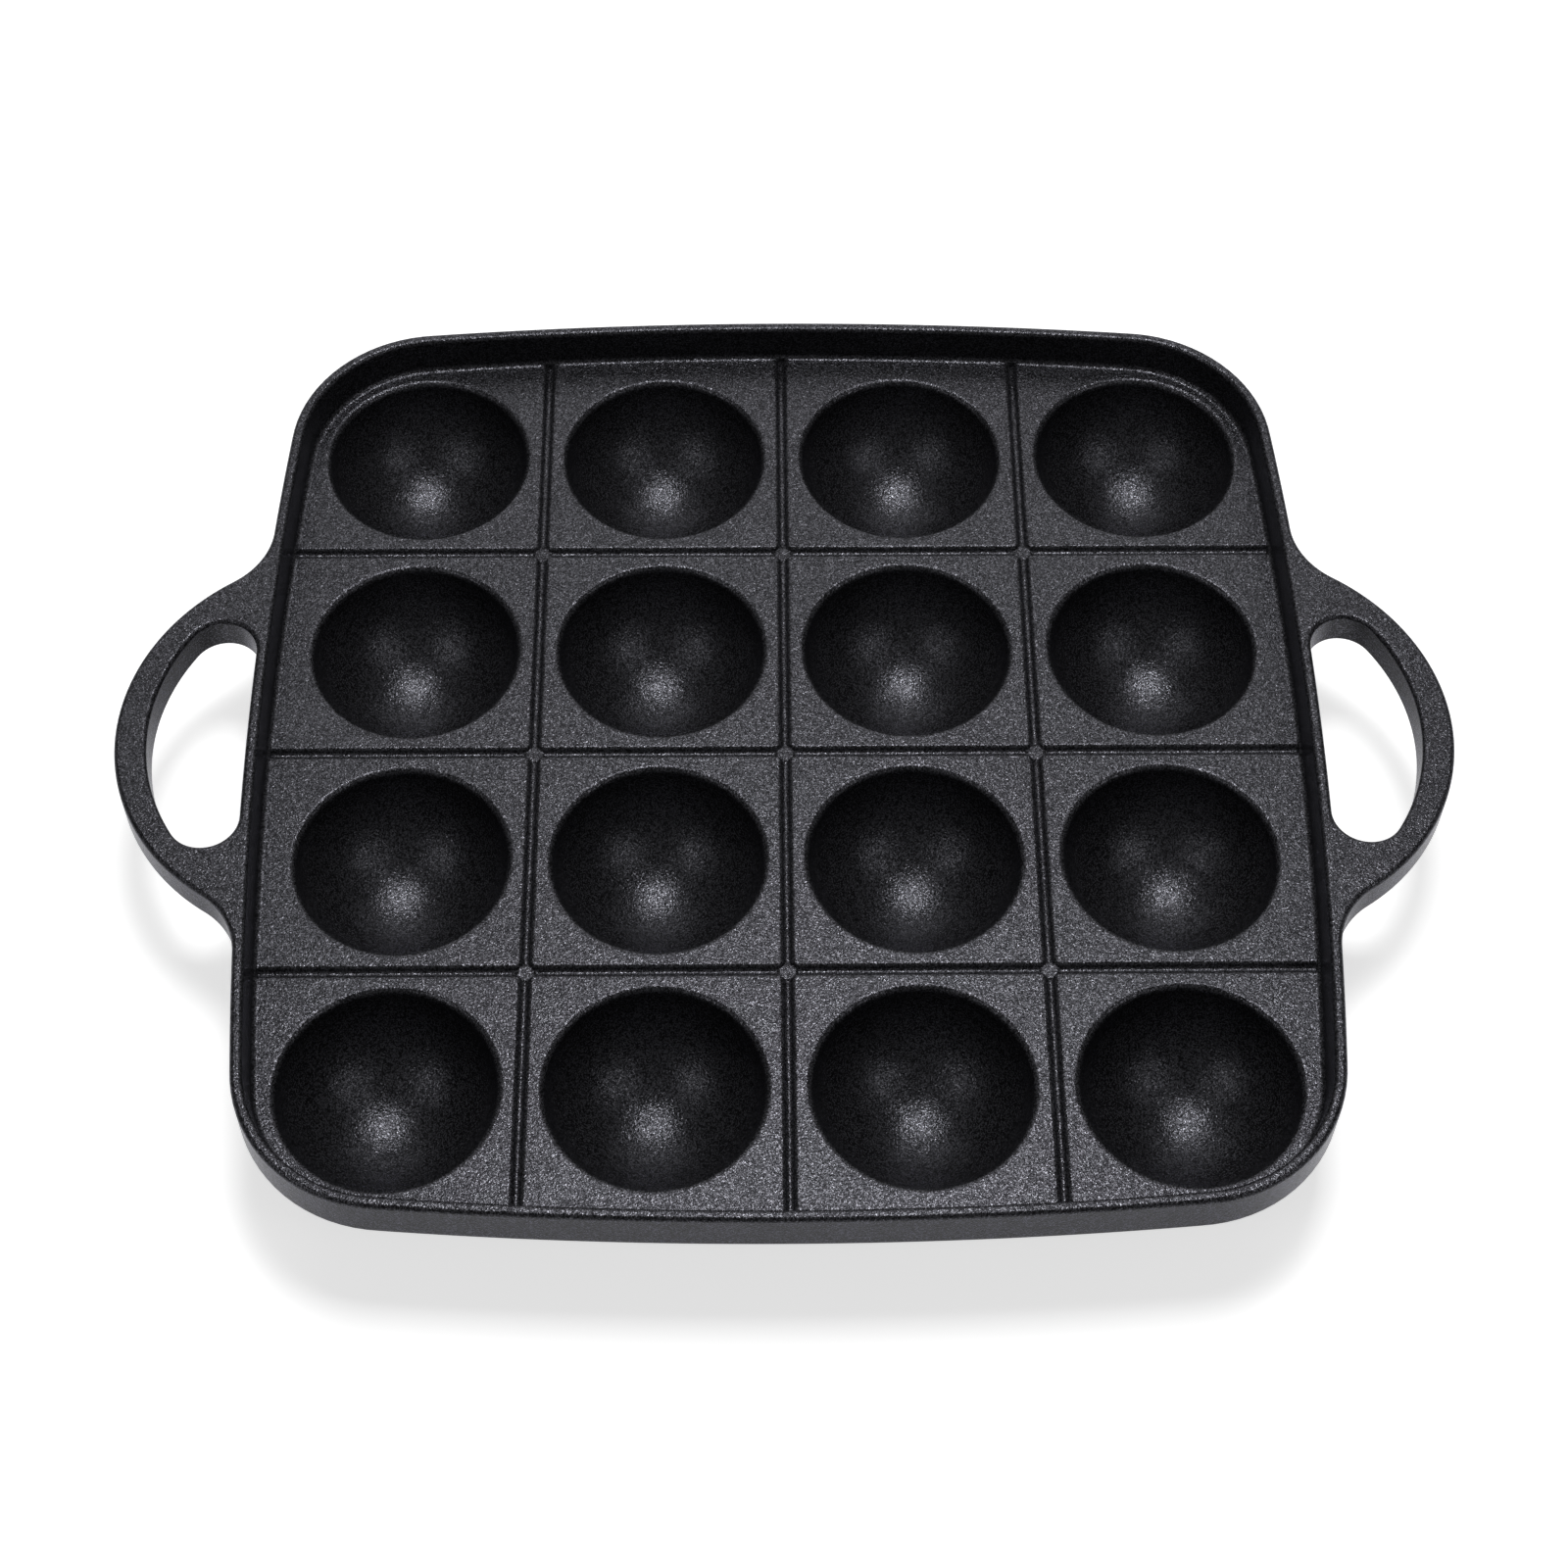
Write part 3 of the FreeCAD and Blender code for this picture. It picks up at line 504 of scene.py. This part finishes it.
places = np.r_[-CROSS_STEPS[:0:-1], ACROSS, CROSS_STEPS[1:]]
x, y = np.meshgrid(places, places, indexing="ij")
crossing = np.stack([x, y, DECK - crossing_depth(x, y)], -1)
crossing_facing = np.stack([*slopes(crossing_depth, x, y), np.ones_like(x)], -1)
crossings = [(crossing + (i * PITCH, j * PITCH, 0), crossing_facing) for i in (-1, 0, 1) for j in (-1, 0, 1)]
print(len(crossings), "crossings,", crossing_depth(np.zeros(1), np.zeros(1)).round(2), "mm deep")

# %% [markdown]
# The deck's skin and the rim's skin meet inside the metal on a slanted face, from the seam on
# the deck down to where the skirt's rounding ends on the underside. Nobody sees that face, but it
# makes each skin a closed body, which the mesh files need.


# %% the face inside the metal
def hidden_face(side):
    """Straight rows from the seam on the deck to the end of the skirt. side is 1 on the deck's
    skin, which faces out and up, and -1 on the rim's."""
    top = upright(set_in(RING, SEAM), DECK - groove_depth(OFFSET[RING]))
    bottom = upright(set_in(RING, ROUND), UNDERSIDE)
    facing = upright(OUT[RING] * (DECK - UNDERSIDE), SEAM - ROUND) * side
    return np.stack([top, bottom]), np.stack([facing, facing])


pan_mesh = closed_mesh("well_deck", four_times(wells + bulges + grooves) + crossings + [hidden_face(1)])
print("well_deck:", measured(pan_mesh))

# %% [markdown]
# The rim is a thin low wall with a rounded crown. Its section starts on the deck, turns up
# through a hollow foot, leans outwards by its draft, rounds over the crown, drops down the outer
# face and turns in under the skirt. Crown, face and skirt are the same all round, so they are
# one section carried along the stations. The foot isn't: each groove is cut a little way into
# it and ends there in a steep little wall. So the foot is written as a level above every point,
# with the groove's depth taken off, fading out over a short distance.

# %% the foot of the rim
SLANT = np.radians(DRAFT)
foot_end = RIM_WIDTH + (RIM_TOP - DECK - FOOT) * np.tan(SLANT) + FOOT / np.cos(SLANT)
foot_top = foot_end - FOOT * np.cos(SLANT)
CUT_FULL, CUT_NONE = 4.0, 3.6  # a groove is whole up to the first inset and gone at the second


def foot_level(inset, across):
    """Level of the rim's foot: deck, then the hollow circle, then the leaning wall, less the
    groove where one runs in."""
    hollow = DECK + FOOT - np.sqrt(np.maximum(FOOT**2 - (foot_end - inset) ** 2, 0))
    wall = RIM_TOP - (inset - RIM_WIDTH) / np.tan(SLANT)
    whole = np.where(inset > foot_end, DECK, np.where(inset > foot_top, hollow, wall))
    beside = eased((np.abs(across) - GROOVE_EDGE) / CLEAR)
    cut = (whole - DECK) * (1 - beside) + groove_depth(across)
    return whole - cut * eased((inset - CUT_NONE) / (CUT_FULL - CUT_NONE))


to_the_cut, in_the_cut = np.linspace(foot_end, CUT_FULL, 4), np.linspace(CUT_FULL, CUT_NONE, 9)
past_the_cut = np.linspace(CUT_NONE, foot_top, 8)
insets = np.r_[SEAM, to_the_cut, in_the_cut[1:], past_the_cut[1:]][:, None]
steep_in, steep_along = slopes(foot_level, insets, OFFSET[RING])
along = np.stack([-OUT[RING, 1], OUT[RING, 0]], -1)
foot_facing = upright(steep_in[..., None] * OUT[RING] - steep_along[..., None] * along, 1.0)
foot = upright(set_in(RING, insets), foot_level(insets, OFFSET[RING])), foot_facing
print("the foot runs from", foot_end.round(3), "to", foot_top.round(3), "mm in from the outer face")

# %% wall, crown, outer face and skirt
lean_in = (np.cos(SLANT), np.sin(SLANT))
crown_in = RIM_WIDTH + ROUND * np.tan(SLANT) - ROUND / np.cos(SLANT)
wall_foot = (foot_top, RIM_TOP - (foot_top - RIM_WIDTH) / np.tan(SLANT))
wall_head = (crown_in + ROUND * lean_in[0], RIM_TOP - ROUND + ROUND * lean_in[1])
rim_section = section(
    straight(wall_foot, wall_head, lean_in, steps=3),
    arc((crown_in, RIM_TOP - ROUND), ROUND, DRAFT, 90, steps=6),
    straight((crown_in, RIM_TOP), (ROUND, RIM_TOP), (0, 1)),
    arc((ROUND, RIM_TOP - ROUND), ROUND, 90, 180, steps=6),
    straight((0, RIM_TOP - ROUND), (0, UNDERSIDE + ROUND), (-1, 0), steps=2),
    arc((ROUND, UNDERSIDE + ROUND), ROUND, 180, 270, steps=6),
)
upper_rim = carried(rim_section, set_in(RING, 0.0), -OUT[RING])
rim_mesh = closed_mesh("rim_band", [foot, upper_rim, hidden_face(-1)])
print("rim_band:", measured(rim_mesh))

# %% [markdown]
# A handle is a flat loop that runs out of the rim in two hollow curves and lies flush with the
# crown. It is made as one row of sections, from one root round to the other. Each section reaches
# from a point on the border of the finger hole to a point on the outer edge. The first one lies
# along the rim, from where the hole touches it to where the outer edge leaves it, and the next
# ones turn round the hole like the spokes of a fan. Both edges have the same rounding above and a
# finer one below.

# %% the two borders of the right-hand handle
GRIP_MIDDLE, GRIP = 91.1, 46.19  # the outer edge's arc, its middle on the pan's long axis
ROOT = 17.0  # hollow arc between the outer edge and the rim
HOLE_MIDDLE, HOLE = 86.0, 44.7  # outer side of the finger hole
HOLE_END = 7.25  # its two ends
HANDLE_FLOOR = 24.8  # level of the handle's underside
EDGE_BELOW = 0.5  # rounding of the handle's lower edges


def meeting(middle, reach, other, apart):
    """The point that lies at one distance from (middle, 0) and at another from (other, 0), of the
    two the one on the far side of the long axis."""
    x = (reach**2 - apart**2 + other**2 - middle**2) / (2 * (other - middle))
    return np.array((x, np.sqrt(reach**2 - (x - middle) ** 2)))


def turn_to(point, middle):
    """Angle from the long axis to the way from (middle, 0) to a point, in radians."""
    return np.arctan2(point[1], point[0] - middle)


root_at = meeting(GRIP_MIDDLE, GRIP + ROOT, SIDE_MIDDLE, SIDE_BOW + ROOT)
end_at = meeting(HOLE_MIDDLE, HOLE - HOLE_END, SIDE_MIDDLE, SIDE_BOW + HOLE_END)
grip_turn, hole_turn = turn_to(root_at, GRIP_MIDDLE), turn_to(end_at, HOLE_MIDDLE)
print("roots about", root_at.round(2), "and hole ends about", end_at.round(2))


# %% helper: the stations along a border
def bent(middle, radius, first, last, steps, side):
    """Stations on an arc, first to last in radians: points, and the way out of the metal, which
    is away from the arc's middle for side = 1 and towards it for -1."""
    turn = np.linspace(first, last, steps + 1)
    outward = np.stack([np.cos(turn), np.sin(turn)], 1)
    return np.array(middle) + radius * outward, side * outward


def joined(start, *others):
    """Arcs end to end, with the station that two of them share kept once."""
    return section(start, *[(points[1:], out[1:]) for points, out in others])


def mirrored(half):
    """The half above the long axis, followed by the half below it."""
    return tuple(np.concatenate([vectors, vectors[-2::-1] * (1, -1)]) for vectors in half)


# %% stations: fan at the root, end of the hole, grip
FAN, BEND, GRIP_STEPS = 18, 10, 16
grip_split = 0.63  # radians from the long axis to where the grip's sections begin
outer_line, outer_way = mirrored(joined(
    bent(root_at, ROOT, np.pi + turn_to(root_at, SIDE_MIDDLE), np.pi + grip_turn, FAN, -1),
    bent((GRIP_MIDDLE, 0), GRIP, grip_turn, grip_split, BEND, 1),
    bent((GRIP_MIDDLE, 0), GRIP, grip_split, 0, GRIP_STEPS, 1),
))
inner_line, inner_way = mirrored(joined(
    bent(end_at, HOLE_END, np.pi + turn_to(end_at, SIDE_MIDDLE), np.pi / 2, FAN, -1),
    bent(end_at, HOLE_END, np.pi / 2, hole_turn, BEND, -1),
    bent((HOLE_MIDDLE, 0), HOLE, hole_turn, 0, GRIP_STEPS, -1),
))
print(len(outer_line), "sections in a handle")

# %% edges of a handle
edge_section = section(
    arc((ROUND, RIM_TOP - ROUND), ROUND, 90, 180, steps=6),
    straight((0, RIM_TOP - ROUND), (0, HANDLE_FLOOR + EDGE_BELOW), (-1, 0)),
    arc((EDGE_BELOW, HANDLE_FLOOR + EDGE_BELOW), EDGE_BELOW, 180, 270, steps=4),
)
outer_edge = carried(edge_section, outer_line, -outer_way)
inner_edge = carried(edge_section, inner_line, -inner_way)
rail = SIDE_BOW - ROUND
first_length = np.linalg.norm(outer_edge[0][0, 0] - inner_edge[0][0, 0])
bow = rail - np.sqrt(rail**2 - (first_length / 2) ** 2)
print("the rim bows by", bow.round(3), "mm over the handle's first section")

# %% top, underside and hidden ends of a handle
ACROSS_HANDLE = np.linspace(0, 1, 9)[:, None, None]  # from the hole's edge to the outer edge
BOW_FADES = 8  # sections from the root until nothing is left of the rim's bow
END_DEPTH = 0.3  # how far the middle of a hidden end reaches further into the rim

number = np.arange(len(outer_line))
near = np.minimum(number, number[::-1])  # sections to the nearest root
swell = (bow * (1 - eased(near / BOW_FADES)))[:, None] * (1.0, 0.0, 0.0)


def spanned(inner, outer, bowed):
    """From the hole's edge to the outer edge: (1 - s) * inner + s * outer + 4 s (1 - s) * bow."""
    s = ACROSS_HANDLE
    return (1 - s) * inner + s * outer + 4 * s * (1 - s) * bowed


def flat_patch(row, up):
    """The flat top or underside, between the points in that row of the two edges. At the two
    roots it follows the rim's own bow."""
    points = spanned(inner_edge[0][row], outer_edge[0][row], swell)
    return points, np.broadcast_to((0.0, 0.0, up), points.shape)


def end_patch(at):
    """The hidden end inside the rim, between the two edges' sections at that station. It reaches
    further into the rim by half a sine wave each way."""
    start, end = inner_edge[0][:, at], outer_edge[0][:, at]
    depth = np.sin(np.linspace(0, np.pi, len(start)))[None, :, None] * np.sin(np.pi * ACROSS_HANDLE)
    points = spanned(start, end, (bow, 0, 0)) - END_DEPTH * depth * (1.0, 0.0, 0.0)
    return points, np.broadcast_to((-1.0, 0.0, 0.0), points.shape)


handle = [outer_edge, inner_edge, flat_patch(0, 1.0), flat_patch(-1, -1.0), end_patch(0), end_patch(-1)]
right_mesh = closed_mesh("right_loop", handle)
left_mesh = closed_mesh("left_loop", [turned_patch(patch, 2) for patch in handle])
print("right_loop:", measured(right_mesh))
print("left_loop:", measured(left_mesh))

# %% [markdown]
# The finish is a dark charcoal non-stick coat, sprayed over a blasted casting. Such a coat is
# satin, nearly black and mirrors little, since its index is lower than that of a lacquer. What
# tells it from plain plastic is its sparkle. Fine mineral flecks lie in it, about a quarter of
# a millimetre across, and each throws back a few times more light than the coat between them.
# They could be painted as pale dots, but then they would show in the shade as well. So a fleck
# is a cell of a random pattern that turns metallic, which shows only where a lamp is mirrored.
# The blasted surface also tilts a little from grain to grain, which widens every highlight, and
# the sprayed coat is duller in some places than in others.


# %% helper: nodes and links
def node(tree, kind, label, **settings):
    """A node of that kind in a tree, with its inputs set by name."""
    made = tree.nodes.new(kind)
    made.label = label
    for name, value in settings.items():
        made.inputs[name.replace("_", " ")].default_value = value
    return made


def link(source, output, target, socket):
    """A link between two nodes of one tree, from an output to a socket."""
    source.id_data.links.new(source.outputs[output], target.inputs[socket])


# %% finish: non-stick coat
coat = bpy.data.materials.new("nonstick_coat")
coat.use_nodes = True
tree = coat.node_tree
shader = tree.nodes["Principled BSDF"]
shader.inputs["IOR"].default_value = 1.32
shader.inputs["Specular Tint"].default_value = (0.88, 0.88, 1.0, 1.0)

place = node(tree, "ShaderNodeTexCoord", "place on the pan")
grain = node(tree, "ShaderNodeTexNoise", "grain of the blasted casting",
             Scale=2400.0, Detail=2.0, Roughness=0.6)
spray = node(tree, "ShaderNodeTexNoise", "cloudiness of the sprayed coat",
             Scale=95.0, Detail=4.0, Roughness=0.55)
cells = node(tree, "ShaderNodeTexVoronoi", "cells of the flecks", Scale=4300.0)
for texture in (grain, spray, cells):
    link(place, "Object", texture, "Vector")

fleck = node(tree, "ShaderNodeMapRange", "how much of a fleck", From_Min=0.44, From_Max=0.85)
link(cells, "Color", fleck, "Value")
link(fleck, "Result", shader, "Metallic")

tone = node(tree, "ShaderNodeMix", "charcoal and fleck")
tone.data_type = "RGBA"
A_COLOUR, B_COLOUR, MIXED_COLOUR = 6, 7, 2  # where a Mix node keeps its colours
tone.inputs[A_COLOUR].default_value = (0.004, 0.004, 0.0042, 1.0)
tone.inputs[B_COLOUR].default_value = (0.109, 0.109, 0.122, 1.0)
link(fleck, "Result", tone, "Factor")
link(tone, MIXED_COLOUR, shader, "Base Color")

dullness = node(tree, "ShaderNodeMapRange", "satin, a little uneven", To_Min=0.18, To_Max=0.24)
link(spray, "Fac", dullness, "Value")
link(dullness, "Result", shader, "Roughness")

tilt = node(tree, "ShaderNodeBump", "tilt of the grains", Strength=1.0, Distance=0.00012)
link(grain, "Fac", tilt, "Height")
link(tilt, "Normal", shader, "Normal")
print("the finish has", len(tree.nodes), "nodes")

# %% [markdown]
# Each skin rides on the pan's one body and stands for the CAD region of the same place.

# %% pieces on the pan
skins = {"well_plate": pan_mesh, "rim_wall": rim_mesh, "right_handle": right_mesh, "left_handle": left_mesh}
for region, mesh in skins.items():
    mesh.materials.append(coat)
    piece = bpy.data.objects.new(mesh.name, mesh)
    bpy.context.scene.collection.objects.link(piece)
    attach(piece, "root")
    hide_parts(region)
    print(piece.name, "stands for", region)

# %% [markdown]
# The pan stands on a plain table. The camera sees it lighter than the lamps make it, as a clean
# pale page that still keeps the pan's shadow. It could be lit up to that tone, but then there
# would be more light on the pan as well. So the table glows a little, and only for the rays that
# somebody looks along. The rays that the pan mirrors see a share of it.


# %% helper: looks and light told apart
def looks(tree, mirrored_share):
    """How far a ray is somebody's look: 1 straight from the camera or through glass, and the
    given share by way of a mirroring surface. It is 0 for the rays that only gather light."""
    path = node(tree, "ShaderNodeLightPath", "kind of ray")
    straight_or_mirrored = node(tree, "ShaderNodeMath", "straight or mirrored")
    straight_or_mirrored.operation = "MULTIPLY_ADD"
    straight_or_mirrored.inputs[1].default_value = mirrored_share
    link(path, "Is Glossy Ray", straight_or_mirrored, 0)
    link(path, "Is Camera Ray", straight_or_mirrored, 2)
    all_looks = node(tree, "ShaderNodeMath", "or through glass")
    link(straight_or_mirrored, "Value", all_looks, 0)
    link(path, "Is Transmission Ray", all_looks, 1)
    return all_looks


# %% table
TABLE = 3.0  # half its side, in metres
floor_mesh = bpy.data.meshes.new("table_top")
table_corners = [(-TABLE, -TABLE, 0), (TABLE, -TABLE, 0), (TABLE, TABLE, 0), (-TABLE, TABLE, 0)]
floor_mesh.from_pydata(table_corners, [], [(0, 1, 2, 3)])
floor = bpy.data.objects.new("table_top", floor_mesh)
bpy.context.scene.collection.objects.link(floor)

paint = bpy.data.materials.new("pale_table")
paint.use_nodes = True
tree = paint.node_tree
matt = tree.nodes["Principled BSDF"]
matt.inputs["Base Color"].default_value = (0.8, 0.8, 0.8, 1.0)
matt.inputs["Roughness"].default_value = 0.9
matt.inputs["Specular IOR Level"].default_value = 0.0
glow = node(tree, "ShaderNodeEmission", "glow of the page", Strength=0.62)
both = node(tree, "ShaderNodeAddShader", "table and glow")
pick = node(tree, "ShaderNodeMixShader", "the glow only for looks")
link(matt, "BSDF", both, 0)
link(glow, "Emission", both, 1)
link(looks(tree, mirrored_share=0.55), "Value", pick, 0)
link(matt, "BSDF", pick, 1)
link(both, "Shader", pick, 2)
link(pick, "Shader", tree.nodes["Material Output"], "Surface")
floor_mesh.materials.append(paint)
print("the table is", 2 * TABLE, "m square")

# %% [markdown]
# The light is that of a small product studio: a soft lamp overhead, a little behind the pan, two
# weak ones at the front corners, and a wide card at the back. The first three are the bright
# spots in the wells. The card is what the deck mirrors towards the camera, so it sets the grey
# of the deck, and the wells' own far walls hide most of it from them.


# %% lamps
def softbox(name, direction, distance, size, power):
    """A lamp of that width and height, at a distance from the origin and facing it."""
    lamp = bpy.data.lights.new(name, "AREA")
    lamp.shape = "RECTANGLE"
    lamp.size, lamp.size_y = size
    lamp.energy = power
    holder = bpy.data.objects.new(name, lamp)
    way = Vector(direction).normalized()
    holder.location = way * distance
    holder.rotation_euler = way.to_track_quat("Z", "Y").to_euler()
    bpy.context.scene.collection.objects.link(holder)
    print(name, "at", tuple(round(c, 2) for c in holder.location))


softbox("overhead", (0.035, 0.185, 0.98), distance=1.3, size=(0.35, 0.35), power=8.6)
softbox("back_card", (0.0, 0.78, 0.62), distance=1.4, size=(1.65, 0.8), power=5.7)
softbox("front_left", (-0.62, -0.45, 0.64), distance=1.4, size=(0.35, 0.35), power=1.4)
softbox("front_right", (0.62, -0.45, 0.64), distance=1.4, size=(0.35, 0.35), power=1.4)

# %% [markdown]
# The room round the studio is dim and only fills the shadows. The camera sees it nearly as pale
# as the far end of the table, so that in a low view the page runs on past the table's edge. The
# pan mirrors a small share of that, and so its dark walls stay dark.

# %% surroundings
DIM, PALE = 0.08, 0.66  # strength of the room as light, and as the camera sees it
world = bpy.data.worlds.new("studio")
bpy.context.scene.world = world
world.use_nodes = True
tree = world.node_tree
room = tree.nodes["Background"]
room.inputs["Color"].default_value = (1.0, 1.0, 1.0, 1.0)
strength = node(tree, "ShaderNodeMapRange", "dim room, pale to the camera", To_Min=DIM, To_Max=PALE)
link(looks(tree, mirrored_share=0.1), "Value", strength, "Value")
link(strength, "Result", room, "Strength")
bpy.context.scene.view_settings.view_transform = "Standard"
print("the room gives", DIM, "and looks", PALE)
